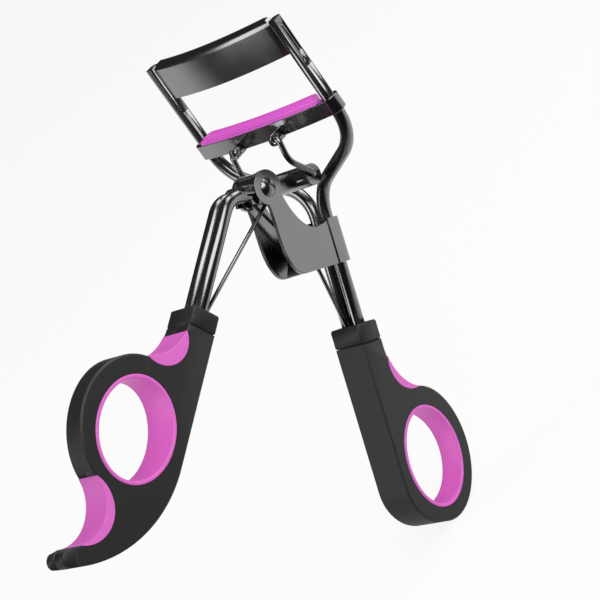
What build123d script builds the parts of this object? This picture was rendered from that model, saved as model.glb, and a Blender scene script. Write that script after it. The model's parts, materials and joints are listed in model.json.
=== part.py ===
from build123d import *
import os
from math import asin, atan2, cos, degrees, hypot, radians, sin, sqrt, tan

# Eyelash curler. Two round frame rods stand up as posts, carry the upper jaw, bend in below
# it and run side by side through the hinge bracket into the fixed handle. The lower jaw
# slides on the posts. A wire link pushes it up from a lever that turns on the pivot rivet,
# and the lever's two rods end in the moving handle. A torsion spring holds it all open.
#
# Millimetres. Everything is drawn about the pivot: X forwards to the moving handle, Y along
# the pivot axis, Z up along the posts. place_in_frame then stands the whole tool on Z = 0.
# "Left" is the +Y side. On a handle, "along" runs down it from the bend in its rods and
# "across" runs from its centre line towards its finger loop.

# Where the pivot stands in the part's own frame
pivot_x = -36.344
pivot_height = 76.553

# Frame rods
post_spacing = 36.6
rod_diameter = 2.62
post_x = -12.18
post_top = 26.8
post_foot = -0.44
rod_pair_gap = 0.26
rod_pair_x = -11.74
rod_pair_z = -9.1
shoulder_radius = 9.5
waist_radius = 7.8
flat_bottom = 16.0
flat_thickness = 1.96
mark_length = 6.6
mark_width = 0.9
mark_line = 0.27
mark_depth = 0.3
mark_above_flat_bottom = 2.9

# Upper jaw
jaw_sheet = 0.8
upper_jaw_bottom = 19.4
upper_jaw_top = 27.4
upper_jaw_front = -9.3
upper_jaw_sagitta = 2.1
upper_rim_radius = 1.5
upper_rim_depth = 1.8
upper_corner_radius = 2.0
jaw_tab_depth = 2.6
tab_gap = 0.02

# Lower jaw and its pad
lower_jaw_sheet = 0.6
lower_jaw_bottom = 5.4
lower_jaw_height = 3.15
lower_jaw_back_height = 2.5
lower_jaw_width = 4.2
lower_jaw_front = -8.6
ear_clearance = 0.08
pad_end_gap = 0.1
pad_top = 10.0
pad_fit = 0.03
pad_crown_radius = 0.9
pad_lip_height = 1.15
pad_lip_wrap = 40

# Link and its lugs
link_wire = 1.2
link_arm_y = 6.9
link_top_x = -6.0
link_top_z = 6.3
link_knee_x = -5.0
link_knee_z = 1.7
link_knee_radius = 4.0
link_hook_radius = 0.95
link_hook_reach = 1.9
lug_sheet = 0.6
lug_gap = 0.2
lug_wall = 0.4
lug_clearance = 0.15

# Lever
barrel_x = -8.9
barrel_z = -4.1
barrel_diameter = 4.3
barrel_length = 12.2
barrel_clearance = 0.05
lever_width = 4.8
lever_sheet = 0.6
lever_crown_radius = 3.3
lever_neck_height = 3.0
lever_rod_diameter = 2.62
lever_rod_gap = 0.26
lever_rod_slope = 30.4
lever_bend_drop = 1.15
lever_bend_radius = 5.2
grip_line_x = 7.0
grip_line_z = 4.32
crimp_start = 3.8
crimp_length = 1.9
crimp_gap = 0.03
handle_stroke = 52.0

# Hinge bracket and rivet
cheek_spacing = 5.0
bracket_sheet = 0.8
cheek_eye_radius = 3.5
clamp_start = 5.6
clamp_length = 9.0
clamp_side_reach = 1.9
rod_gap = 0.02
cheek_front_reach = 12.3
cheek_root = 1.5
cheek_corner_radius = 2.6
rivet_diameter = 2.5
rivet_head_radius = 1.9
rivet_head_height = 0.85
rivet_gap = 0.02
lever_bore_clearance = 0.05

# Torsion spring
spring_wire = 0.8
spring_x = -0.1
spring_z = -0.35
spring_radius = 2.1
spring_turns = 1.75
spring_pitch = 0.86
spring_offset = 1.28
spring_arc = 70
spring_bend_along = 14.0
spring_bend_across = -4.9
spring_bend_radius = 6.0
leg_across = -1.35
moving_leg_bend_x = 5.2
moving_leg_bend_z = -3.75
leg_depth = 2.5
leg_gap = 0.05

# Handles
handle_width = 5.9
handle_thickness = 7.7
loop_taper = 4.45
collar_length = 3.9
collar_gap = 0.05
edge_chamfer = 0.35
ring_long = 20.7
ring_short = 17.0
ring_wall = 0.8
ring_proud = 0.12
rest_proud = 0.02
fit_gap = 0.03
notch_top = 11.0

fixed_angle = 25.16
fixed_collar_start = 27.05
fixed_rod_end = 43.0
fixed_ring_along = 56.45
fixed_ring_across = 7.9
fixed_loop_along = 56.0
fixed_loop_across = 8.3
fixed_loop_long = 27.4
fixed_loop_short = 21.8
fixed_heel_along = 60.2
fixed_heel_radius = 9.1
fixed_notch_along = 33.0
fixed_notch_radius = 10.0
fixed_pad_along = 36.8
fixed_pad_across = 8.5
fixed_pad_radius = 5.8

moving_angle = 63.9
moving_collar_start = 25.45
moving_rod_end = 43.0
moving_ring_along = 53.0
moving_ring_across = 8.2
moving_loop_along = 52.3
moving_loop_across = 8.5
moving_loop_long = 26.6
moving_loop_short = 22.8
moving_notch_along = 28.9
moving_notch_radius = 11.0
moving_pad_along = 34.3
moving_pad_across = 7.3
moving_pad_radius = 5.3
tail_start = 56.0
tail_radius = 27.9
tail_tip_along = 80.2
tail_tip_across = 14.4
rest_along = 70.8
rest_across = 17.75
rest_radius = 7.9
rest_end_along = 76.9
rest_end_across = 13.2
rest_crest_along = 66.0
rest_crest_across = 13.8
rest_pad_along = 70.7
rest_pad_across = 14.7
rest_pad_radius = 6.7

# Worked out from the sizes above
rod_radius = rod_diameter / 2
post_y = post_spacing / 2
rod_pair_spacing = rod_diameter + rod_pair_gap
rod_pair_y = rod_pair_spacing / 2
lever_rod_radius = lever_rod_diameter / 2
lever_rod_spacing = lever_rod_diameter + lever_rod_gap
lever_rod_y = lever_rod_spacing / 2
tongue_height = lever_rod_diameter + 2 * (crimp_gap + lever_sheet)
half_width = handle_width / 2
half_thickness = handle_thickness / 2
ear_middle_radius = rod_radius + ear_clearance + lower_jaw_sheet / 2
jaw_depth = lower_jaw_front - lower_jaw_sheet / 2 - post_x
lower_bow_radius = (jaw_depth**2 + post_y**2 - ear_middle_radius**2) / (2 * (jaw_depth - ear_middle_radius))
cheek_inner = cheek_spacing / 2
cheek_outer = cheek_inner + bracket_sheet
barrel_arm = hypot(barrel_x, barrel_z)
barrel_rise = degrees(atan2(-barrel_z, -barrel_x))
jaw_stroke = barrel_arm * sin(radians(handle_stroke - barrel_rise)) - barrel_z
link_back_drift = barrel_arm * (1 - cos(radians(barrel_rise)))
link_front_drift = max(0, -barrel_x - barrel_arm * cos(radians(handle_stroke - barrel_rise)))
tail_middle_across = tail_radius - half_width
tail_tip_radius = tail_radius - hypot(tail_tip_along - tail_start, tail_tip_across - tail_middle_across)
sides = (1, -1)


def direction(angle):
    """Unit vector in the XZ plane, swung from straight down towards +X."""
    return Vector(sin(radians(angle)), 0, -cos(radians(angle)))


fixed_origin = Vector(rod_pair_x, 0, rod_pair_z)
fixed_plane = Plane(fixed_origin, x_dir=direction(fixed_angle), z_dir=(0, 1, 0))
moving_origin = Vector(grip_line_x, 0, grip_line_z)
moving_plane = Plane(moving_origin, x_dir=direction(moving_angle), z_dir=(0, -1, 0))
reach = direction(lever_rod_slope + 90)
lever_corner = moving_origin + direction(moving_angle) * lever_bend_drop
reach_foot = lever_corner - reach * lever_corner.dot(reach)
spring_middle = Vector(spring_x, 0, spring_z)
moving_leg_bend = Vector(moving_leg_bend_x, spring_offset / 2, moving_leg_bend_z)
side_view = Plane((0, 0, 0), x_dir=(1, 0, 0), z_dir=(0, -1, 0))
place_in_frame = Pos(pivot_x, 0, pivot_height)


def along_y(x, z, radius, y_from, y_to):
    """A round bar parallel to the pivot axis."""
    plane = Plane((x, y_from, z), x_dir=(1, 0, 0), z_dir=(0, 1, 0))
    return extrude(plane * Circle(radius), y_to - y_from)


def plate(outline, y_from, y_to):
    """A sheet cut to an outline drawn in the side view, between two Y values."""
    return Pos(0, y_to, 0) * extrude(side_view * outline, y_to - y_from)


def wire(points, radii, diameter):
    """A round bar with straight runs and tangent arcs at its corners."""
    path = FilletPolyline(*points, radius=radii) if radii else Line(*points)
    section = Plane(path @ 0, z_dir=path % 0) * Circle(diameter / 2)
    return sweep(section, path=path)


def mirrored(shape):
    return mirror(shape, about=Plane.XZ)


def bow_radius(half_chord, sagitta):
    return (half_chord**2 + sagitta**2) / (2 * sagitta)


def bowed(section, front_x, radius, half_length):
    """A section (X from the front face, Z) carried round a bow, ends trimmed square."""
    axis = Axis((front_x - radius, 0, 0), (0, 0, 1))
    arc = 2 * degrees(asin((half_length + 2) / radius))
    start = Plane((front_x, 0, 0), x_dir=(1, 0, 0), z_dir=(0, -1, 0)) * section
    strip = revolve(start.rotate(axis, -arc / 2), axis, arc)
    return strip & Box(4 * radius, 2 * half_length, 4 * radius)


# ---------------------------------------------------------------- frame


def frame_rod():
    """Post, shoulder, run in to the waist and straight run down into the handle."""
    corner = Vector(rod_pair_x, rod_pair_y, rod_pair_z)
    end = corner + direction(fixed_angle) * fixed_rod_end
    foot = (post_x, post_y, post_foot)
    rod = wire([(post_x, post_y, post_top), foot, corner, end], [shoulder_radius, waist_radius], rod_diameter)
    flat_height = post_top - flat_bottom
    cutter = Box(2 * rod_diameter, rod_diameter, flat_height + 1)
    for side in sides:
        shift = side * (flat_thickness + rod_diameter) / 2
        rod -= Pos(post_x, post_y + shift, flat_bottom + (flat_height + 1) / 2) * cutter
    mark_middle = flat_bottom + mark_above_flat_bottom + mark_length / 2
    mark_plane = Plane(
        (post_x, post_y + flat_thickness / 2 - mark_depth, mark_middle), x_dir=(0, 0, 1), z_dir=(0, 1, 0)
    )
    mark = SlotOverall(mark_length, mark_width)
    mark -= SlotOverall(mark_length - 2 * mark_line, mark_width - 2 * mark_line)
    return rod - extrude(mark_plane * mark, rod_diameter)


def upper_jaw():
    """A bowed plate with its top rolled back, and a tab on the inner flat of each post."""
    tab_outer = post_y - flat_thickness / 2 - tab_gap
    height = upper_jaw_top - upper_jaw_bottom
    inner_radius = upper_rim_radius - jaw_sheet
    with BuildSketch() as section:
        with BuildLine():
            face = Line((0, upper_jaw_bottom), (0, upper_jaw_top - upper_rim_radius))
            rim = RadiusArc(face @ 1, (-upper_rim_radius, upper_jaw_top), -upper_rim_radius)
            top = Line(rim @ 1, (-upper_rim_depth, upper_jaw_top))
            edge = Line(top @ 1, (-upper_rim_depth, upper_jaw_top - jaw_sheet))
            under = Line(edge @ 1, (-upper_rim_radius, upper_jaw_top - jaw_sheet))
            inner = RadiusArc(under @ 1, (-jaw_sheet, upper_jaw_top - upper_rim_radius), inner_radius)
            back = Line(inner @ 1, (-jaw_sheet, upper_jaw_bottom))
            Line(back @ 1, face @ 0)
        make_face()
    radius = bow_radius(tab_outer, upper_jaw_sagitta)
    jaw = bowed(section.sketch, upper_jaw_front, radius, tab_outer)
    tab = Box(jaw_tab_depth, jaw_sheet, height - upper_rim_radius)
    tab_x = upper_jaw_front - upper_jaw_sagitta - jaw_tab_depth / 2
    tab_z = upper_jaw_bottom + (height - upper_rim_radius) / 2
    for side in sides:
        jaw += Pos(tab_x, side * (tab_outer - jaw_sheet / 2), tab_z) * tab
    front_view = Rectangle(2 * tab_outer, height)
    top_corners = front_view.vertices().group_by(Axis.Y)[-1]
    front_view = fillet(top_corners, upper_corner_radius)
    facing = Plane((upper_jaw_front + 1, 0, upper_jaw_bottom + height / 2), x_dir=(0, 1, 0), z_dir=(-1, 0, 0))
    return jaw & extrude(facing * Rot(0, 0, 180) * front_view, 20)


def clamp_section(wall):
    """The rod pair with this much round it: X is the tool's Y, Y is forwards."""
    return SlotCenterToCenter(rod_pair_spacing, 2 * (rod_radius + rod_gap + wall))


def cheek_outline():
    """An eye round the pivot and an arm that widens down to the clamp."""
    forward = direction(fixed_angle + 90)
    top = fixed_origin + direction(fixed_angle) * clamp_start
    bottom = fixed_origin + direction(fixed_angle) * (clamp_start + clamp_length)
    front_low = bottom + forward * cheek_front_reach
    back_low = bottom + forward * cheek_root
    back_high = top + forward * cheek_root
    inside_eye = 0.6 * cheek_eye_radius
    with BuildSketch() as outline:
        with BuildLine():
            front = Spline(
                (inside_eye, -inside_eye),
                (inside_eye + 1.1, -5.2),
                (front_low.X + 0.55, front_low.Z + 3.6),
                (front_low.X, front_low.Z),
            )
            foot = Line(front @ 1, (back_low.X, back_low.Z))
            root = Line(foot @ 1, (back_high.X, back_high.Z))
            throat = Spline(
                root @ 1,
                (back_high.X + 5.2, back_high.Z + 2.1),
                (-inside_eye + 0.5, -7.6),
                (-inside_eye, -inside_eye),
            )
            Line(throat @ 1, front @ 0)
        make_face()
        Circle(cheek_eye_radius)
    corner = outline.sketch.vertices().sort_by_distance((front_low.X, front_low.Z, 0))[0]
    return fillet(corner, cheek_corner_radius)


def hinge_bracket():
    """One folded sheet: a clamp round the rod pair that opens into two cheeks with eyes."""
    start = fixed_origin + direction(fixed_angle) * clamp_start
    clamp_plane = Plane(start, x_dir=(0, 1, 0), z_dir=direction(fixed_angle))
    sheet_out = 2 * (rod_pair_y + rod_radius + rod_gap + bracket_sheet)
    sheet_in = sheet_out - 2 * bracket_sheet
    lift = Pos(0, clamp_side_reach / 2)
    outside = clamp_section(bracket_sheet) + lift * Rectangle(sheet_out, clamp_side_reach)
    inside = clamp_section(0) + lift * Rectangle(sheet_in, clamp_side_reach)
    ahead = Pos(0, clamp_side_reach + 5) * Rectangle(2 * sheet_out, 10)
    bracket = extrude(clamp_plane * (outside - inside - ahead), clamp_length)
    for side in sides:
        low = min(side * cheek_inner, side * cheek_outer)
        bracket += plate(cheek_outline(), low, low + bracket_sheet)
    bracket -= extrude(clamp_plane * clamp_section(0), clamp_length)
    return bracket - along_y(0, 0, rivet_diameter / 2 + rivet_gap, -2 * cheek_outer, 2 * cheek_outer)


def pivot_rivet():
    """A shank through both cheeks with a domed head on each side."""
    rivet = along_y(0, 0, rivet_diameter / 2, -cheek_outer, cheek_outer)
    dome_radius = bow_radius(rivet_head_radius, rivet_head_height)
    seat = cheek_outer + rivet_gap
    for side in sides:
        ball = Pos(0, side * (seat + rivet_head_height - dome_radius), 0) * Sphere(dome_radius)
        keep = Pos(0, side * (seat + dome_radius), 0) * Box(4 * dome_radius, 2 * dome_radius, 4 * dome_radius)
        rivet += ball & keep
        rivet += along_y(0, 0, rivet_diameter / 2, min(0, side * (seat + 0.1)), max(0, side * (seat + 0.1)))
    return rivet


def tangent_angle(point, side):
    """Where a straight leg from this point touches the coil, in degrees from +X to +Z."""
    out = point - spring_middle
    away = hypot(out.X, out.Z)
    return degrees(atan2(out.Z, out.X)) + side * (90 - degrees(asin(spring_radius / away)))


def coil_point(angle, y):
    return spring_middle + Vector(spring_radius * cos(radians(angle)), y, spring_radius * sin(radians(angle)))


def torsion_spring():
    """The coil round the rivet and the leg that runs down to the fixed collar."""
    bend = fixed_plane.from_local_coords(Vector(spring_bend_along, spring_bend_across, 0))
    end = fixed_plane.from_local_coords(Vector(fixed_collar_start + leg_depth, leg_across, 0))
    angle = tangent_angle(bend, 1)
    touch = coil_point(angle, spring_offset - spring_pitch * (1 + spring_turns))
    helix = Helix(spring_pitch, spring_pitch * spring_turns, spring_radius, direction=(0, 1, 0))
    start = helix @ 0
    coil = sweep(Plane(start, z_dir=helix % 0) * Circle(spring_wire / 2), path=helix)
    turn = angle - degrees(atan2(start.Z, start.X))
    coil = Pos(spring_x, touch.Y, spring_z) * coil.rotate(Axis.Y, -turn)
    leg = wire([touch, bend, end], [spring_bend_radius], spring_wire)
    return coil + leg + Pos(touch) * Sphere(spring_wire / 2)


# ---------------------------------------------------------------- moving handle's metal


def spring_moving_leg():
    """The coil's last part turn and the leg that runs out to the moving collar."""
    end = moving_plane.from_local_coords(Vector(moving_collar_start + leg_depth, leg_across, 0))
    bend = moving_leg_bend
    angle = tangent_angle(bend, -1)
    touch = coil_point(angle, spring_offset)
    middle = coil_point(angle - spring_arc / 2, spring_offset)
    arc = ThreePointArc(touch, middle, coil_point(angle - spring_arc, spring_offset))
    turn = sweep(Plane(touch, z_dir=arc % 0) * Circle(spring_wire / 2), path=arc)
    leg = wire([touch, bend, end], [spring_bend_radius], spring_wire)
    return turn + leg + Pos(touch) * Sphere(spring_wire / 2)


def lever_outline(inset):
    """The lever's side: crown round the spring, neck to the barrel, tongue to the rods."""
    neck_height = lever_neck_height - 2 * inset
    neck = Rot(0, 0, barrel_rise) * Pos(-barrel_arm / 2, 0) * Rectangle(barrel_arm, neck_height)
    tongue_end = crimp_start + lever_sheet / 2
    tongue = Pos(reach_foot.X, reach_foot.Z) * Rot(0, 0, lever_rod_slope)
    tongue *= Pos(tongue_end / 2, 0) * Rectangle(tongue_end, tongue_height - 2 * inset)
    barrel = Pos(barrel_x, barrel_z) * Circle(barrel_diameter / 2 - inset)
    return Circle(lever_crown_radius - inset) + neck + tongue + barrel


def lever():
    """A folded sheet channel: eyes on the rivet, a crimp over both rods, a rolled barrel."""
    wall = lever_outline(0)
    roof = (wall - lever_outline(lever_sheet)) & Rot(0, 0, barrel_rise) * Pos(0, 25) * Rectangle(100, 50)
    half = lever_width / 2
    body = plate(roof, -half, half)
    for side in sides:
        inner = side * (half - lever_sheet)
        body += plate(wall, min(inner, side * half), max(inner, side * half))
    body += along_y(barrel_x, barrel_z, barrel_diameter / 2, -barrel_length / 2, barrel_length / 2)
    crimp_plane = Plane(reach_foot + reach * crimp_start, x_dir=(0, 1, 0), z_dir=reach)
    upper = Pos(0, tongue_height / 2) * Rectangle(20, tongue_height)
    saddle = SlotCenterToCenter(lever_rod_spacing, tongue_height) & upper
    body += extrude(crimp_plane * saddle, crimp_length)
    channel = SlotCenterToCenter(lever_rod_spacing, lever_rod_diameter + 2 * crimp_gap)
    body -= extrude(crimp_plane * channel, crimp_length + 1)
    body -= along_y(0, 0, rivet_diameter / 2 + lever_bore_clearance, -half - 1, half + 1)
    bore = link_wire / 2 + barrel_clearance
    return body - along_y(barrel_x, barrel_z, bore, -barrel_length, barrel_length)


def lever_rod():
    """From the crimp, up to the bend and down into the moving handle."""
    beside = Vector(0, lever_rod_y, 0)
    start = reach_foot + reach * (crimp_start + crimp_gap) + beside
    end = moving_origin + beside + direction(moving_angle) * moving_rod_end
    return wire([start, lever_corner + beside, end], [lever_bend_radius], lever_rod_diameter)


# ---------------------------------------------------------------- lower jaw and link


def ear_path(side, wrap):
    """Centre line of one ear, from where the bow touches it to this far round the post."""
    start = side * degrees(asin(post_y / (lower_bow_radius - ear_middle_radius)))
    return CenterArc((post_x, side * post_y), ear_middle_radius, start, side * wrap - start)


def jaw_trace(wrap):
    """The wall's centre line: the bow and this many degrees of ear round each post."""
    ears = [ear_path(side, wrap) for side in sides]
    bow = ThreePointArc(ears[0] @ 0, (lower_jaw_front - lower_jaw_sheet / 2, 0), ears[1] @ 0)
    return trace(Wire([ears[0], bow, ears[1]]), lower_jaw_sheet)


def lower_jaw():
    """A bowed channel whose front wall wraps an ear round each post, with two link lugs."""
    jaw = extrude(jaw_trace(180), lower_jaw_height)
    sheet = lower_jaw_sheet
    with BuildSketch() as section:
        with BuildLine():
            Polyline(
                (-sheet / 2, 0),
                (-sheet / 2, sheet),
                (sheet - lower_jaw_width, sheet),
                (sheet - lower_jaw_width, lower_jaw_back_height),
                (-lower_jaw_width, lower_jaw_back_height),
                (-lower_jaw_width, 0),
                close=True,
            )
        make_face()
    half = post_y - rod_radius - ear_clearance - sheet
    jaw += bowed(section.sketch, lower_jaw_front, lower_bow_radius + sheet / 2, half)
    jaw = Pos(0, 0, lower_jaw_bottom) * jaw
    slot = link_wire / 2 + lug_clearance
    lug_radius = slot + lug_wall
    root = lower_jaw_front - sheet / 2
    outline = Pos(link_top_x + link_front_drift, link_top_z) * Circle(lug_radius)
    tab_length = link_top_x + link_front_drift - root
    outline += Pos(root + tab_length / 2, link_top_z) * Rectangle(tab_length, 2 * lug_radius)
    hole = make_hull(
        (Pos(link_top_x + link_front_drift, link_top_z) * Circle(slot)).edges()
        + (Pos(link_top_x - link_back_drift, link_top_z) * Circle(slot)).edges()
    )
    outer = link_arm_y - link_wire / 2 - lug_gap
    for side in sides:
        low = outer - lug_sheet if side > 0 else -outer
        jaw += plate(outline, low, low + lug_sheet)
        jaw -= plate(hole, low, low + lug_sheet)
    return jaw


def lash_pad():
    """A soft strip in the channel, its rounded head lying on the wall and round the posts."""
    ledge = lower_jaw_bottom + lower_jaw_height + pad_fit
    floor = lower_jaw_bottom + lower_jaw_sheet + pad_fit
    inner = lower_jaw_sheet + pad_fit
    back = lower_jaw_width - inner
    root = Pos(-(inner + back) / 2, (floor + pad_top) / 2) * Rectangle(back - inner, pad_top - floor)
    head = Pos(-back / 2, (ledge + pad_top) / 2) * Rectangle(back, pad_top - ledge)
    strip = root + head
    section = fillet(strip.vertices().group_by(Axis.Y)[-1], pad_crown_radius)
    half = post_y - rod_radius - ear_clearance - lower_jaw_sheet - pad_end_gap
    pad = bowed(section, lower_jaw_front, lower_bow_radius + lower_jaw_sheet / 2, half)
    return pad + Pos(0, 0, ledge) * extrude(jaw_trace(pad_lip_wrap), pad_lip_height)


def push_link():
    """A wire stirrup: its bar turns in the barrel, its hooked ends sit in the lugs."""
    hook_y = link_arm_y - link_hook_reach
    half = [
        (link_top_x, hook_y, link_top_z),
        (link_top_x, link_arm_y, link_top_z),
        (link_knee_x, link_arm_y, link_knee_z),
        (barrel_x, link_arm_y, barrel_z),
    ]
    other = [(x, -y, z) for x, y, z in reversed(half)]
    radii = [link_hook_radius, link_knee_radius, link_hook_radius]
    return wire(half + other, radii + radii[::-1], link_wire)


# ---------------------------------------------------------------- handles


def half_at(across):
    """Half the handle's thickness, which thins towards the loop."""
    return half_thickness - across * tan(radians(loop_taper))


def tapered(outline, plane, proud):
    """An outline given the handle's thickness, plus this much on both broad faces."""
    low = -10
    high = 30
    near = half_at(low) + proud
    far = half_at(high) + proud
    wedge = Polygon((low, -near), (high, -far), (high, far), (low, near), align=None)
    end_view = Plane(plane.origin, x_dir=plane.y_dir, z_dir=plane.x_dir)
    return extrude(plane * outline, handle_thickness, both=True) & extrude(end_view * wedge, 100)


def oval(along, across, long, short):
    return Pos(along, across) * Ellipse(long / 2, short / 2)


def disc(along, across, radius):
    return Pos(along, across) * Circle(radius)


def grip_outline(start, loop, loop_long, loop_short, notch_along, notch_radius):
    """A straight grip that swells into a loop through a round finger notch."""
    along, across = loop
    grip = Pos((start + along) / 2, 0) * Rectangle(along - start, handle_width)
    swell_start = max(start, notch_along)
    swell = Pos((swell_start + along) / 2, notch_top / 2) * Rectangle(along - swell_start, notch_top)
    notch = disc(notch_along, half_width + notch_radius, notch_radius)
    return grip + (swell - notch) + oval(along, across, loop_long, loop_short)


def fixed_outline():
    start = fixed_collar_start + collar_length + collar_gap
    loop = (fixed_loop_along, fixed_loop_across)
    outline = grip_outline(
        start, loop, fixed_loop_long, fixed_loop_short, fixed_notch_along, fixed_notch_radius
    )
    heel = disc(fixed_heel_along, fixed_heel_radius - half_width, fixed_heel_radius)
    spine = Pos((start + fixed_heel_along) / 2, 0) * Rectangle(fixed_heel_along - start, handle_width)
    return outline + heel + spine


def moving_outline():
    """The loop, then a tail that sweeps up behind a round rest for a second finger."""
    start = moving_collar_start + collar_length + collar_gap
    loop = (moving_loop_along, moving_loop_across)
    outline = grip_outline(
        start, loop, moving_loop_long, moving_loop_short, moving_notch_along, moving_notch_radius
    )
    spine = Pos((start + tail_start) / 2, 0) * Rectangle(tail_start - start, handle_width)
    sweep_disc = disc(tail_start, tail_middle_across, tail_radius)
    tip = disc(tail_tip_along, tail_tip_across, tail_tip_radius)
    tail = Polygon(
        (tail_start, tail_middle_across - 2 * tail_radius),
        (tail_start + 2 * tail_radius, tail_middle_across - 2 * tail_radius),
        (2 * tail_tip_along - tail_start, 2 * tail_tip_across - tail_middle_across),
        (tail_tip_along, tail_tip_across),
        (tail_tip_along - tail_tip_radius * 0.7, tail_tip_across + tail_tip_radius * 0.7),
        (rest_end_along, rest_end_across),
        (rest_crest_along, rest_crest_across),
        (tail_start, rest_crest_across),
        align=None,
    )
    rest = disc(rest_along, rest_across, rest_radius)
    return outline + spine + ((tail & sweep_disc) + tip - rest)


def rod_channel(rod_y, radius, end, plane, side):
    """The bore for one rod, open towards the parting face."""
    reach = Vector(end + 1, 0, 0)
    y = abs(rod_y) * side
    bore = extrude(Plane(plane.origin + Vector(0, y, 0), z_dir=plane.x_dir) * Circle(radius), end + 0.5)
    slot = extrude(plane * Pos(reach.X / 2, 0) * Rectangle(end + 0.5, 2 * radius), abs(rod_y), both=True)
    return bore + (slot & Box(400, 2 * abs(rod_y), 400))


def shell(outline, cut_outs, plane, rod_y, rod_end, radius, side):
    """One moulded half of a handle: the left half for side 1, the right for side -1."""
    body = tapered(outline, plane, 0)
    broad = body.faces().filter_by(lambda face: abs(face.normal_at().Y) > 0.98)
    body = chamfer([edge for face in broad for edge in face.edges()], edge_chamfer)
    for cut in cut_outs:
        body -= extrude(plane * cut, handle_thickness, both=True)
    body &= Pos(0, side * (100 + fit_gap / 2), 0) * Box(400, 200, 400)
    return body - rod_channel(rod_y, radius, rod_end, plane, side)


def finger_ring(along, across, plane):
    """An oval liner through the loop, its inner edges broken."""
    outside = oval(along, across, ring_long, ring_short)
    bore = oval(along, across, ring_long - 2 * ring_wall, ring_short - 2 * ring_wall)
    ring = tapered(outside, plane, ring_proud) - extrude(plane * bore, handle_thickness, both=True)
    rims = ring.edges().filter_by(lambda edge: abs(edge.center().Y) > 1)
    bore_rims = [edge for edge in rims if edge.length < (ring_long + ring_short) * 1.5]
    return chamfer(bore_rims, ring_wall / 2)


def crescent(pad, notch, outline, plane):
    """A moulded rest that fills the hollow between a round pad and a finger notch."""
    return tapered((pad - notch) & outline, plane, rest_proud)


def loosened(along, across, long, short):
    return oval(along, across, long + 2 * fit_gap, short + 2 * fit_gap)


def collar(start, plane, rod_y, radius, leg_along, leg_towards):
    """A block round both rods with a hole for the spring's leg."""
    block = tapered(Pos(start + collar_length / 2, 0) * Rectangle(collar_length, handle_width), plane, 0)
    block = chamfer(block.edges(), edge_chamfer)
    for side in sides:
        line = Plane(plane.origin + Vector(0, side * rod_y, 0), z_dir=plane.x_dir)
        block -= extrude(line * Circle(radius), start + 2 * collar_length)
    tip = plane.from_local_coords(Vector(leg_along, leg_across, 0))
    outward = (leg_towards - tip).normalized()
    hole_plane = Plane(tip - outward * leg_gap, z_dir=outward)
    return block - extrude(hole_plane * Circle(spring_wire / 2 + leg_gap), 8)


fixed_notch_disc = disc(fixed_notch_along, half_width + fixed_notch_radius, fixed_notch_radius)
fixed_pad_disc = disc(fixed_pad_along, fixed_pad_across, fixed_pad_radius)
moving_notch_disc = disc(moving_notch_along, half_width + moving_notch_radius, moving_notch_radius)
moving_pad_disc = disc(moving_pad_along, moving_pad_across, moving_pad_radius)
rest_disc = disc(rest_along, rest_across, rest_radius)
rest_pad_disc = disc(rest_pad_along, rest_pad_across, rest_pad_radius)


def fixed_shell(side):
    pad = disc(fixed_pad_along, fixed_pad_across, fixed_pad_radius + fit_gap)
    hole = loosened(fixed_ring_along, fixed_ring_across, ring_long, ring_short)
    bore = rod_radius + rod_gap
    return shell(fixed_outline(), [pad, hole], fixed_plane, rod_pair_y, fixed_rod_end, bore, side)


def moving_shell(side):
    pad = disc(moving_pad_along, moving_pad_across, moving_pad_radius + fit_gap)
    rest_pad = disc(rest_pad_along, rest_pad_across, rest_pad_radius + fit_gap)
    hole = loosened(moving_ring_along, moving_ring_across, ring_long, ring_short)
    bore = lever_rod_radius + rod_gap
    cuts = [pad, rest_pad, hole]
    return shell(moving_outline(), cuts, moving_plane, lever_rod_y, moving_rod_end, bore, side)


def fixed_collar():
    bend = fixed_plane.from_local_coords(Vector(spring_bend_along, spring_bend_across, 0))
    radius = rod_radius + rod_gap
    end = fixed_collar_start + leg_depth
    return collar(fixed_collar_start, fixed_plane, rod_pair_y, radius, end, bend)


def moving_collar():
    radius = lever_rod_radius + rod_gap
    end = moving_collar_start + leg_depth
    return collar(moving_collar_start, moving_plane, lever_rod_y, radius, end, moving_leg_bend)


def save(name, shape):
    shape.label = name
    export_step(place_in_frame * shape, "parts/" + name + ".step")


os.makedirs("parts", exist_ok=True)
save("frame_rod_left", frame_rod())
save("frame_rod_right", mirrored(frame_rod()))
save("upper_jaw", upper_jaw())
save("hinge_bracket", hinge_bracket())
save("pivot_rivet", pivot_rivet())
save("torsion_spring", torsion_spring())
save("fixed_handle_collar", fixed_collar())
save("fixed_handle_left_shell", fixed_shell(1))
save("fixed_handle_right_shell", fixed_shell(-1))
save("fixed_finger_ring", finger_ring(fixed_ring_along, fixed_ring_across, fixed_plane))
save("fixed_notch_pad", crescent(fixed_pad_disc, fixed_notch_disc, fixed_outline(), fixed_plane))
save("lever", lever())
save("lever_rod_left", lever_rod())
save("lever_rod_right", mirrored(lever_rod()))
save("spring_moving_leg", spring_moving_leg())
save("moving_handle_collar", moving_collar())
save("moving_handle_left_shell", moving_shell(1))
save("moving_handle_right_shell", moving_shell(-1))
save("moving_finger_ring", finger_ring(moving_ring_along, moving_ring_across, moving_plane))
save("upper_notch_pad", crescent(moving_pad_disc, moving_notch_disc, moving_outline(), moving_plane))
save("lower_notch_pad", crescent(rest_pad_disc, rest_disc, moving_outline(), moving_plane))
save("lower_jaw", lower_jaw())
save("lash_pad", lash_pad())
save("push_link", push_link())
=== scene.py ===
import json
import math

import bmesh
import bpy
from bpy.props import FloatProperty, FloatVectorProperty, PointerProperty
from mathutils import Matrix, Vector


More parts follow.
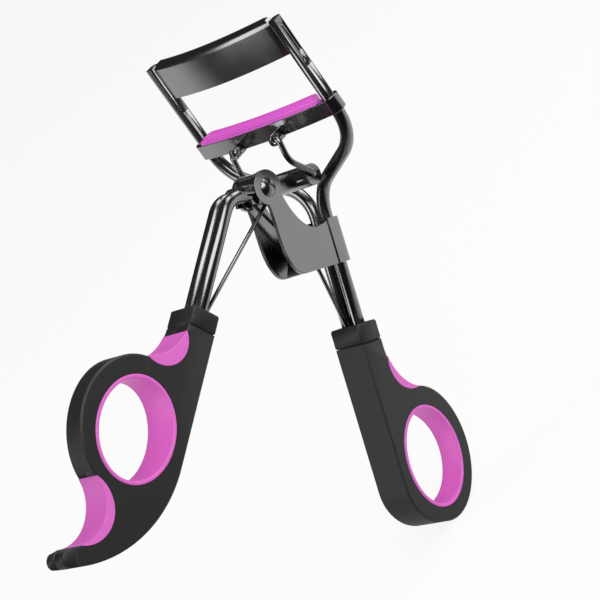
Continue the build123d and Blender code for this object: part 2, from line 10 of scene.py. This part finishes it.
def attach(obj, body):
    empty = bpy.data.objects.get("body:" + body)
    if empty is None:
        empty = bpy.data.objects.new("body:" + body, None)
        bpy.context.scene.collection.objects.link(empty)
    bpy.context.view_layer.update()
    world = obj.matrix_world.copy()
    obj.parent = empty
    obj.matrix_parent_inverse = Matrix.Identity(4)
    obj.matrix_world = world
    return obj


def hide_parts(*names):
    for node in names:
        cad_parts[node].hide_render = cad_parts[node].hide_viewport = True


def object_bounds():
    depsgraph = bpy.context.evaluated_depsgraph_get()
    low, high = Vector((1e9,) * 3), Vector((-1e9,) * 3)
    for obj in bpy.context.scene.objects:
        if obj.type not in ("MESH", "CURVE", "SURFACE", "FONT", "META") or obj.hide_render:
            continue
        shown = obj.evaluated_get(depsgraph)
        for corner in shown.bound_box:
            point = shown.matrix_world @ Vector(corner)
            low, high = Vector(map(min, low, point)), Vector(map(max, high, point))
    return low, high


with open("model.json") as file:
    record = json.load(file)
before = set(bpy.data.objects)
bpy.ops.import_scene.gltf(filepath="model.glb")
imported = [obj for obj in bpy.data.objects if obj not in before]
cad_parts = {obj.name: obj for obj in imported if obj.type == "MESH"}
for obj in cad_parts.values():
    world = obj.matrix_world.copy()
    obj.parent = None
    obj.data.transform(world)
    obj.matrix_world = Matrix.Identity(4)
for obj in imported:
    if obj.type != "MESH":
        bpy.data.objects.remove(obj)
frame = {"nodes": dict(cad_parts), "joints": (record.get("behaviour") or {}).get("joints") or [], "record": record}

bl_info = {
    "name": "Eyelash curler",
    "version": (1, 0, 0),
    "blender": (4, 5, 0),
    "location": "View3D > Sidebar > Curler",
    "description": "Dresses the curler's frame: black metal, moulded handles, finger rings and lash pad",
    "category": "Object",
}

MM = 0.001
CAD_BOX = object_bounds()
PIVOT = Vector(next(j["pos_m"] for j in frame["joints"] if j["name"] == "handle_pivot"))

# Each handle: the body it rides on, its bend (x, z) from the pivot, its lean from straight down in degrees,
# and its ring's centre (along, across) from the bend. Lengths in millimetres.
HANDLES = {
    "fixed": {"body": "frame", "bend": (-11.74, -9.1), "lean": 25.16, "ring": (56.45, 7.9)},
    "moving": {"body": "moving_handle", "bend": (7.0, 4.32), "lean": 63.9, "ring": (53.0, 8.2)},
}

# Soft lamps: place from the object's centre, width and height, share of the lamp power
LAMPS = (
    ("key_lamp", (0.1, 0.4, 0.45), (0.5, 0.5), 1.0),
    ("side_lamp", (0.5, -0.3, 0.2), (0.25, 0.5), 0.45),
    ("back_lamp", (-0.4, 0.1, 0.4), (0.4, 0.4), 0.6),
)
# Sides of a finger ring, and its rounded lip as a share of its wall
RING_SEGMENTS = 128
RING_LIP = 0.42
# Stations in each rounded end of the lash pad
TIP_STEPS = 8
# The floor's direction that glows dark in the gloss: a painted reflection, the floor darker on the side in front
# of the object
FLOOR_PAINTED_DARK_SIDE = (0.87, 0.5, 0.0)
# How far along that direction the floor's painted reflection goes from pale to dark, and its two glow levels
FLOOR_FADE = (-0.06, 0.04)
FLOOR_REFLECTION_GLOW = (0.95, 0.02)
# How much of the floor the camera sees as plain white. The rest keeps the object's shadow
BACKDROP_SHARE = 0.9
# How much of the room's light the gloss sees
GLOSS_ROOM = 0.25
FLOOR_SIZE = 3.0

# The camera: lens, sensor and nearest distance, place from the pivot in millimetres, and its directions
CAMERA_LENS = 147.89
CAMERA_SENSOR = 36.0
CAMERA_NEAR = 0.01
CAMERA_PLACE = (298.4, 343.9, 126.1)
CAMERA_RIGHT = (-0.502, 0.664, -0.554)
CAMERA_FORWARD = (-0.614, -0.725, -0.311)

# Angles above which an edge stays sharp, in degrees
SHARP_EDGE = 30.0
BEVEL_ANGLE = SHARP_EDGE + 10
RING_SHARP_EDGE = 35.0
PAD_SHARP_EDGE = 60.0

# Widths used in the lash pad's section: the lip's ends, its wall, the groove over it and the crown's inset
PAD_TIP_DEPTH = 0.56 * MM
PAD_LIP_WALL = 0.63 * MM
PAD_TIP_WALL = 0.3 * MM
PAD_TIP_DROP = 0.45 * MM
PAD_LIP_HEIGHT = 0.42 * MM
PAD_GROOVE = 0.1 * MM
PAD_CROWN_INSET = 0.05 * MM
PAD_EDGE = 0.03 * MM
PAD_FADE = 0.5 * MM


# ---------------------------------------------------------------- settings


class CurlerMetal(bpy.types.PropertyGroup):
    colour: FloatVectorProperty(
        name="Metal colour",
        description="Colour of the black plated steel",
        subtype="COLOR",
        size=3,
        default=(0.26, 0.26, 0.265),
        min=0,
        max=1,
    )
    roughness: FloatProperty(
        name="Metal roughness", description="How dull the plating is", default=0.2, min=0, max=1
    )
    edge: FloatProperty(
        name="Broken edge",
        description="Width of the small bevel along the pressed sheet's edges",
        default=0.1 * MM,
        unit="LENGTH",
    )


class CurlerHandles(bpy.types.PropertyGroup):
    colour: FloatVectorProperty(
        name="Handle colour",
        description="Colour of the moulded handle shells",
        subtype="COLOR",
        size=3,
        default=(0.019, 0.019, 0.02),
        min=0,
        max=1,
    )
    grain: FloatProperty(
        name="Mould grain",
        description="Size of the fine grain on the shells",
        default=0.35 * MM,
        unit="LENGTH",
    )
    ring_long: FloatProperty(
        name="Ring length", description="Length of a finger ring", default=20.7 * MM, unit="LENGTH"
    )
    ring_short: FloatProperty(
        name="Ring width", description="Width of a finger ring", default=17.0 * MM, unit="LENGTH"
    )
    ring_wall: FloatProperty(
        name="Ring wall", description="Wall of a finger ring", default=0.8 * MM, unit="LENGTH"
    )
    ring_half: FloatProperty(
        name="Ring half thickness",
        description="Half of a ring's thickness on the handle's centre line",
        default=3.97 * MM,
        unit="LENGTH",
    )
    taper: FloatProperty(
        name="Handle taper",
        description="How fast a handle thins towards its loop",
        default=math.radians(4.45),
        subtype="ANGLE",
    )


class CurlerPink(bpy.types.PropertyGroup):
    plastic: FloatVectorProperty(
        name="Ring colour",
        description="Colour of the finger rings and rests",
        subtype="COLOR",
        size=3,
        default=(0.78, 0.15, 0.62),
        min=0,
        max=1,
    )
    silicone: FloatVectorProperty(
        name="Pad colour",
        description="Colour of the lash pad",
        subtype="COLOR",
        size=3,
        default=(0.86, 0.13, 0.74),
        min=0,
        max=1,
    )


class CurlerPad(bpy.types.PropertyGroup):
    front: FloatProperty(
        name="Front",
        description="The bow's front at its middle, from the pivot",
        default=-8.6 * MM,
        unit="LENGTH",
    )
    bow_radius: FloatProperty(
        name="Bow radius", description="Radius of the jaw's front", default=108.1 * MM, unit="LENGTH"
    )
    lip_end: FloatProperty(
        name="Lip end", description="Half the length of the pad's lip", default=17.2 * MM, unit="LENGTH"
    )
    tip_length: FloatProperty(
        name="Tip length",
        description="How much of the lip's end is rounded off",
        default=0.8 * MM,
        unit="LENGTH",
    )
    channel_end: FloatProperty(
        name="Channel end", description="Half the length of the pad's foot", default=15.7 * MM, unit="LENGTH"
    )
    depth: FloatProperty(
        name="Depth", description="The pad's depth from front to back", default=3.55 * MM, unit="LENGTH"
    )
    floor: FloatProperty(
        name="Floor", description="Underside of the foot", default=6.04 * MM, unit="LENGTH"
    )
    ledge: FloatProperty(
        name="Ledge", description="Underside of the lip", default=8.59 * MM, unit="LENGTH"
    )
    top: FloatProperty(name="Top", description="Height of the crown", default=9.99 * MM, unit="LENGTH")


class CurlerStage(bpy.types.PropertyGroup):
    floor: FloatVectorProperty(
        name="Floor colour", description="Colour of the floor", subtype="COLOR", size=3,
        default=(0.9, 0.9, 0.9), min=0, max=1,
    )
    light: FloatProperty(
        name="Lamp power", description="Power of the soft lamps", default=2.4, unit="POWER"
    )
    room: FloatProperty(
        name="Room light", description="Level of the room's even light", default=0.2, min=0, max=1
    )


# ---------------------------------------------------------------- materials


class Shader:
    """A node material, built up a line at a time."""

    def __init__(self, name):
        self.material = bpy.data.materials.new(name)
        self.material.use_nodes = True
        self.tree = self.material.node_tree
        self.surface = self.tree.nodes["Principled BSDF"]

    def node(self, kind, **values):
        node = self.tree.nodes.new(kind)
        for key, value in values.items():
            if hasattr(node, key):
                setattr(node, key, value)
            else:
                node.inputs[key.replace("_", " ")].default_value = value
        return node

    def link(self, out, into):
        self.tree.links.new(out, into)

    def place(self):
        return self.node("ShaderNodeTexCoord").outputs["Object"]

    def bump(self, height, strength, distance):
        bump = self.node("ShaderNodeBump", Strength=strength, Distance=distance)
        self.link(height, bump.inputs["Height"])
        self.link(bump.outputs["Normal"], self.surface.inputs["Normal"])

    def spread(self, source, low, high, into):
        """Maps a 0 to 1 pattern to a range on one of the shader's sockets."""
        ramp = self.node("ShaderNodeMapRange")
        ramp.inputs["To Min"].default_value = low
        ramp.inputs["To Max"].default_value = high
        self.link(source, ramp.inputs["Value"])
        self.link(ramp.outputs["Result"], self.surface.inputs[into])

    def tint(self, source, colour, low, high):
        """Varies a colour between two strengths of itself."""
        ramp = self.node("ShaderNodeValToRGB")
        ramp.color_ramp.elements[0].color = (*[c * low for c in colour], 1)
        ramp.color_ramp.elements[1].color = (*[min(1, c * high) for c in colour], 1)
        self.link(source, ramp.inputs["Fac"])
        self.link(ramp.outputs["Color"], self.surface.inputs["Base Color"])


def plated_metal(settings):
    shader = Shader("black_plating")
    place = shader.place()
    cloud = shader.node("ShaderNodeTexNoise", Scale=180.0, Detail=3.0)
    shader.link(place, cloud.inputs["Vector"])
    shader.tint(cloud.outputs["Fac"], settings.colour, 0.9, 1.12)
    shader.spread(cloud.outputs["Fac"], settings.roughness - 0.04, settings.roughness + 0.05, "Roughness")
    fine = shader.node("ShaderNodeTexNoise", Scale=2600.0, Detail=2.0)
    shader.link(place, fine.inputs["Vector"])
    shader.bump(fine.outputs["Fac"], 0.03, 0.00001)
    shader.surface.inputs["Metallic"].default_value = 1.0
    return shader.material


def moulded_plastic(name, colour, grain, roughness, low=0.94, high=1.06, depth=0.00003):
    shader = Shader(name)
    place = shader.place()
    cloud = shader.node("ShaderNodeTexNoise", Scale=90.0, Detail=4.0)
    shader.link(place, cloud.inputs["Vector"])
    shader.tint(cloud.outputs["Fac"], colour, low, high)
    shader.spread(cloud.outputs["Fac"], roughness - 0.04, roughness + 0.05, "Roughness")
    fine = shader.node("ShaderNodeTexNoise", Scale=1 / grain, Detail=3.0)
    shader.link(place, fine.inputs["Vector"])
    shader.bump(fine.outputs["Fac"], 0.25, depth)
    return shader


def silicone(colour):
    shader = moulded_plastic("lash_pad_silicone", colour, 0.6 * MM, 0.34, 0.96, 1.04, 0.00002)
    surface = shader.surface
    surface.inputs["Subsurface Weight"].default_value = 0.25
    surface.inputs["Subsurface Scale"].default_value = 0.0012
    surface.inputs["Subsurface Radius"].default_value = (1.0, 0.35, 0.8)
    return shader.material


# ---------------------------------------------------------------- shapes


def new_piece(name, work, body, material, smooth=RING_SHARP_EDGE):
    """Makes an object from a bmesh, smooth but for its sharp edges, riding on a body."""
    mesh = bpy.data.meshes.new(name)
    work.to_mesh(mesh)
    work.free()
    piece = bpy.data.objects.new(name, mesh)
    bpy.context.scene.collection.objects.link(piece)
    mesh.materials.append(material)
    mesh.shade_smooth()
    mesh.set_sharp_from_angle(angle=math.radians(smooth))
    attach(piece, body)
    return piece


def body_with(node):
    bodies = frame["record"]["behaviour"]["bodies"]
    return next(body for body, nodes in bodies.items() if node in nodes)


def dressed(node, material, edge=0.0):
    """A clean copy of a frame node with smooth faces and, if asked, finely broken edges."""
    work = bmesh.new()
    work.from_mesh(frame["nodes"][node].data)
    bmesh.ops.remove_doubles(work, verts=work.verts, dist=0.000001)
    bmesh.ops.dissolve_degenerate(work, edges=work.edges, dist=0.000002)
    piece = new_piece(node + "_finished", work, body_with(node), material, SHARP_EDGE)
    if edge:
        bevel = piece.modifiers.new("broken_edge", "BEVEL")
        bevel.width = edge
        bevel.segments = 2
        bevel.limit_method = "ANGLE"
        bevel.angle_limit = math.radians(BEVEL_ANGLE)
        bevel.harden_normals = False
    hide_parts(node)
    return piece


def handle_matrix(kind):
    """From a handle's own frame (along, across, thickness) to the object's."""
    handle = HANDLES[kind]
    lean = math.radians(handle["lean"])
    along = Vector((math.sin(lean), 0, -math.cos(lean)))
    side = 1 if kind == "moving" else -1
    across = Vector((math.cos(lean), 0, math.sin(lean))) * side
    thick = along.cross(across)
    bend = PIVOT + Vector((handle["bend"][0] * MM, 0, handle["bend"][1] * MM))
    matrix = Matrix.Identity(4)
    for column, axis in enumerate((along, across, thick, bend)):
        for row in range(3):
            matrix[row][column] = axis[row]
    return matrix


def finger_ring(kind, settings):
    """An oval liner with rounded lips that thins towards the loop, as its handle does."""
    along, across = (value * MM for value in HANDLES[kind]["ring"])
    work = bmesh.new()
    wall = settings.ring_wall
    long = settings.ring_long / 2
    short = settings.ring_short / 2
    loop = bmesh.ops.create_circle(work, radius=1.0, segments=RING_SEGMENTS, cap_ends=False)["verts"]
    for vert in loop:
        vert.co = Vector((vert.co.x * long, vert.co.y * short, -1))
    rail = list(work.edges)
    for inset, level in ((0.0, 1), (wall, 1), (0.0, -1)):
        grown = bmesh.ops.extrude_edge_only(work, edges=rail)["geom"]
        rail = [item for item in grown if isinstance(item, bmesh.types.BMEdge)]
        verts = [item for item in grown if isinstance(item, bmesh.types.BMVert)]
        for vert in verts:
            vert.co.x *= (long - inset) / long
            vert.co.y *= (short - inset) / short
            vert.co.z = level
    first = [edge for edge in work.edges if edge.is_boundary]
    bmesh.ops.bridge_loops(work, edges=first)
    for vert in work.verts:
        vert.co.z *= settings.ring_half - (across + vert.co.y) * math.tan(settings.taper)
    bmesh.ops.translate(work, vec=(along, across, 0), verts=work.verts)
    bmesh.ops.transform(work, matrix=handle_matrix(kind), verts=work.verts)
    bmesh.ops.recalc_face_normals(work, faces=work.faces)
    rims = [edge for edge in work.edges if abs(edge.calc_face_angle(0)) > math.radians(60)]
    bmesh.ops.bevel(
        work, geom=rims, offset=wall * RING_LIP, segments=4, profile=0.5, affect="EDGES", material=-1,
        clamp_overlap=True,
    )
    return work


def pad_path(pad):
    """Stations along the pad's front: a point and the way in."""
    middle = pad.front - pad.bow_radius
    body_end = math.asin((pad.lip_end - pad.tip_length) / pad.bow_radius)
    tip_end = math.asin(pad.lip_end / pad.bow_radius)
    angles = [body_end * step / 24 for step in range(25)]
    angles += [body_end + (tip_end - body_end) * step / TIP_STEPS for step in range(1, TIP_STEPS + 1)]
    half = []
    for angle in angles:
        way = Vector((-math.cos(angle), -math.sin(angle), 0))
        half.append((Vector((middle, 0, 0)) - way * pad.bow_radius, way))
    flip = Vector((1, -1, 1))
    return [(point * flip, way * flip) for point, way in reversed(half[1:])] + half


def pad_section(pad, thin, tip):
    """Depth and height pairs: foot in the channel, lip on the wall, groove and crown."""
    ledge = pad.ledge
    depth = pad.depth * (1 - thin) + PAD_TIP_DEPTH * thin
    foot = pad.floor * (1 - thin) + ledge * thin
    inner = PAD_LIP_WALL * (1 - thin) + PAD_TIP_WALL * thin
    top = pad.top - PAD_TIP_DROP * thin
    seat = ledge + PAD_LIP_HEIGHT
    crown = seat + PAD_GROOVE
    points = [(PAD_EDGE, ledge), (0.0, ledge + PAD_GROOVE), (0.0, seat - 2 * PAD_EDGE), (PAD_GROOVE, seat)]
    for step in range(11):
        angle = math.pi * step / 10
        across = PAD_CROWN_INSET + (depth - PAD_CROWN_INSET) * (1 - math.cos(angle)) / 2
        points.append((across, crown + (top - crown) * math.sin(angle) ** 0.6))
    points += [(depth, ledge), (depth, foot), (inner, foot), (inner, ledge)]
    middle = (ledge + top) / 2
    round_off = math.sqrt(max(0.02, 1 - tip**2))
    return [(across, middle + (height - middle) * round_off) for across, height in points]


def lash_pad_shape(pad):
    """A silicone strip that follows the jaw's bow and ends in thin tips before the posts."""
    work = bmesh.new()
    path = pad_path(pad)
    edges = []
    for number, (point, way) in enumerate(path):
        thin = min(1, max(0, (abs(point.y) - pad.channel_end) / PAD_FADE))
        from_tip = min(number, len(path) - 1 - number)
        tip = max(0, 1 - from_tip / TIP_STEPS)
        section = pad_section(pad, thin, tip)
        if not edges:
            verts = bmesh.ops.create_circle(work, radius=MM, segments=len(section), cap_ends=True)["verts"]
            edges = list(work.edges)
        else:
            grown = bmesh.ops.extrude_edge_only(work, edges=edges)["geom"]
            verts = [item for item in grown if isinstance(item, bmesh.types.BMVert)]
            edges = [item for item in grown if isinstance(item, bmesh.types.BMEdge)]
        for vert, (depth, height) in zip(verts, section):
            vert.co = point + way * depth + Vector((0, 0, height))
    bmesh.ops.contextual_create(work, geom=edges)
    bmesh.ops.recalc_face_normals(work, faces=work.faces)
    bmesh.ops.translate(work, vec=PIVOT, verts=work.verts)
    return work


# ---------------------------------------------------------------- operators


class CURLER_OT_metalwork(bpy.types.Operator):
    """Dress the rods, jaws, bracket, rivet, lever, link and spring in black plating"""

    bl_idname = "curler.metalwork"
    bl_label = "Metalwork"

    def execute(self, context):
        settings = context.scene.curler_metal
        metal = plated_metal(settings)
        for node in ("upper_jaw", "hinge_bracket", "lower_jaw", "lever"):
            dressed(node, metal, settings.edge)
        for node in (
            "frame_rod_left", "frame_rod_right", "pivot_rivet", "torsion_spring", "lever_rod_left",
            "lever_rod_right", "spring_moving_leg", "push_link",
        ):
            dressed(node, metal)
        return {"FINISHED"}


class CURLER_OT_handles(bpy.types.Operator):
    """Dress the handle shells and collars in moulded black plastic"""

    bl_idname = "curler.handles"
    bl_label = "Handle shells"

    def execute(self, context):
        settings = context.scene.curler_handles
        plastic = moulded_plastic("handle_plastic", settings.colour, settings.grain, 0.5).material
        for kind in HANDLES:
            for part in ("left_shell", "right_shell", "collar"):
                dressed(f"{kind}_handle_{part}", plastic)
        return {"FINISHED"}


class CURLER_OT_rings(bpy.types.Operator):
    """Make the two finger rings and the finger rests"""

    bl_idname = "curler.rings"
    bl_label = "Finger rings and rests"

    def execute(self, context):
        settings = context.scene.curler_handles
        colour = context.scene.curler_pink.plastic
        pink = moulded_plastic("ring_plastic", colour, settings.grain, 0.42).material
        for kind, handle in HANDLES.items():
            ring = new_piece(
                f"{kind}_ring_liner", finger_ring(kind, settings), handle["body"], pink
            )
            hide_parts(f"{kind}_finger_ring")
        for node in ("fixed_notch_pad", "upper_notch_pad", "lower_notch_pad"):
            dressed(node, pink, 0.2 * MM)
        return {"FINISHED"}


class CURLER_OT_pad(bpy.types.Operator):
    """Make the soft lash pad"""

    bl_idname = "curler.lash_pad"
    bl_label = "Lash pad"

    def execute(self, context):
        material = silicone(context.scene.curler_pink.silicone)
        work = lash_pad_shape(context.scene.curler_pad)
        pad = new_piece("silicone_lash_pad", work, "lower_jaw", material, PAD_SHARP_EDGE)
        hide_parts("lash_pad")
        return {"FINISHED"}


class CURLER_OT_stage(bpy.types.Operator):
    """Set up the floor, the soft lamps and the camera"""

    bl_idname = "curler.stage"
    bl_label = "Stage"

    def backdrop_and_painted_reflection(self, shader):
        """White to the camera. In the object's gloss it glows as a painted reflection, pale but dark on the side
        in front of it.
        """
        path = shader.node("ShaderNodeLightPath")
        apart = shader.node("ShaderNodeVectorMath", operation="DOT_PRODUCT")
        shader.link(shader.place(), apart.inputs[0])
        apart.inputs[1].default_value = FLOOR_PAINTED_DARK_SIDE
        # Painted reflection: in the gloss the floor glows pale, fading to dark on the side in front of the object
        shade = shader.node("ShaderNodeMapRange")
        shade.inputs["From Min"].default_value = FLOOR_FADE[0]
        shade.inputs["From Max"].default_value = FLOOR_FADE[1]
        shade.inputs["To Min"].default_value = FLOOR_REFLECTION_GLOW[0]
        shade.inputs["To Max"].default_value = FLOOR_REFLECTION_GLOW[1]
        shader.link(apart.outputs["Value"], shade.inputs["Value"])
        gloss = shader.node("ShaderNodeMix", data_type="FLOAT")
        shader.link(path.outputs["Is Camera Ray"], gloss.inputs["Factor"])
        shader.link(shade.outputs["Result"], gloss.inputs["A"])
        gloss.inputs["B"].default_value = 1.0
        glow = shader.node("ShaderNodeEmission")
        shader.link(gloss.outputs["Result"], glow.inputs["Strength"])
        seen = shader.node("ShaderNodeMath", operation="MULTIPLY_ADD")
        shader.link(path.outputs["Is Camera Ray"], seen.inputs[0])
        seen.inputs[1].default_value = BACKDROP_SHARE
        shader.link(path.outputs["Is Glossy Ray"], seen.inputs[2])
        blend = shader.node("ShaderNodeMixShader")
        shader.link(seen.outputs[0], blend.inputs[0])
        shader.link(shader.surface.outputs[0], blend.inputs[1])
        shader.link(glow.outputs[0], blend.inputs[2])
        shader.link(blend.outputs[0], shader.tree.nodes["Material Output"].inputs["Surface"])

    def execute(self, context):
        settings = context.scene.curler_stage
        scene = context.scene
        work = bmesh.new()
        bmesh.ops.create_grid(work, x_segments=1, y_segments=1, size=FLOOR_SIZE)
        mesh = bpy.data.meshes.new("floor")
        work.to_mesh(mesh)
        work.free()
        floor = bpy.data.objects.new("floor", mesh)
        scene.collection.objects.link(floor)
        shader = Shader("floor_paint")
        shader.surface.inputs["Base Color"].default_value = (*settings.floor, 1)
        shader.surface.inputs["Roughness"].default_value = 0.9
        self.backdrop_and_painted_reflection(shader)
        mesh.materials.append(shader.material)

        world = bpy.data.worlds.new("studio")
        world.use_nodes = True
        scene.world = world
        tree = world.node_tree
        back = tree.nodes["Background"]
        back.inputs["Color"].default_value = (1, 1, 1, 1)
        path = tree.nodes.new("ShaderNodeLightPath")
        level = tree.nodes.new("ShaderNodeMapRange")
        dim = tree.nodes.new("ShaderNodeMapRange")
        dim.inputs["To Min"].default_value = settings.room
        dim.inputs["To Max"].default_value = settings.room * GLOSS_ROOM
        tree.links.new(path.outputs["Is Glossy Ray"], dim.inputs["Value"])
        tree.links.new(dim.outputs["Result"], level.inputs["To Min"])
        level.inputs["To Max"].default_value = 1.0
        tree.links.new(path.outputs["Is Camera Ray"], level.inputs["Value"])
        tree.links.new(level.outputs["Result"], back.inputs["Strength"])

        centre = (CAD_BOX[0] + CAD_BOX[1]) / 2
        for name, place, size, power in LAMPS:
            lamp = bpy.data.lights.new(name, "AREA")
            lamp.energy = settings.light * power
            lamp.shape = "RECTANGLE"
            lamp.size = size[0]
            lamp.size_y = size[1]
            holder = bpy.data.objects.new(name, lamp)
            holder.location = centre + Vector(place)
            holder.rotation_euler = (-Vector(place)).to_track_quat("-Z", "Y").to_euler()
            scene.collection.objects.link(holder)

        camera = bpy.data.cameras.new("camera")
        camera.sensor_width = CAMERA_SENSOR
        camera.lens = CAMERA_LENS
        camera.clip_start = CAMERA_NEAR
        holder = bpy.data.objects.new("camera", camera)
        right = Vector(CAMERA_RIGHT).normalized()
        forward = Vector(CAMERA_FORWARD).normalized()
        up = right.cross(forward).normalized()
        right = forward.cross(up).normalized()
        turn = Matrix((right, up, -forward)).transposed().to_4x4()
        place = PIVOT + Vector(CAMERA_PLACE) * MM
        holder.matrix_world = Matrix.Translation(place) @ turn
        scene.collection.objects.link(holder)
        scene.camera = holder
        scene.view_settings.view_transform = "Standard"
        return {"FINISHED"}


class CURLER_PT_sidebar(bpy.types.Panel):
    bl_idname = "CURLER_PT_sidebar"
    bl_label = "Eyelash curler"
    bl_space_type = "VIEW_3D"
    bl_region_type = "UI"
    bl_category = "Curler"

    def draw(self, context):
        for group, operator in STEPS:
            column = self.layout.column()
            settings = getattr(context.scene, group)
            for key in settings.bl_rna.properties.keys():
                if key not in {"rna_type", "name"}:
                    column.prop(settings, key)
            column.operator(operator)


GROUPS = {
    "curler_metal": CurlerMetal,
    "curler_handles": CurlerHandles,
    "curler_pink": CurlerPink,
    "curler_pad": CurlerPad,
    "curler_stage": CurlerStage,
}
STEPS = (
    ("curler_metal", "curler.metalwork"),
    ("curler_handles", "curler.handles"),
    ("curler_pink", "curler.rings"),
    ("curler_pad", "curler.lash_pad"),
    ("curler_stage", "curler.stage"),
)
CLASSES = (
    *GROUPS.values(),
    CURLER_OT_metalwork,
    CURLER_OT_handles,
    CURLER_OT_rings,
    CURLER_OT_pad,
    CURLER_OT_stage,
    CURLER_PT_sidebar,
)


def register():
    for cls in CLASSES:
        bpy.utils.register_class(cls)
    for key, cls in GROUPS.items():
        setattr(bpy.types.Scene, key, PointerProperty(type=cls))


def unregister():
    for key in GROUPS:
        delattr(bpy.types.Scene, key)
    for cls in reversed(CLASSES):
        bpy.utils.unregister_class(cls)


def main():
    register()
    bpy.ops.curler.metalwork()
    bpy.ops.curler.handles()
    bpy.ops.curler.rings()
    bpy.ops.curler.lash_pad()
    bpy.ops.curler.stage()


if __name__ == "__main__":
    main()
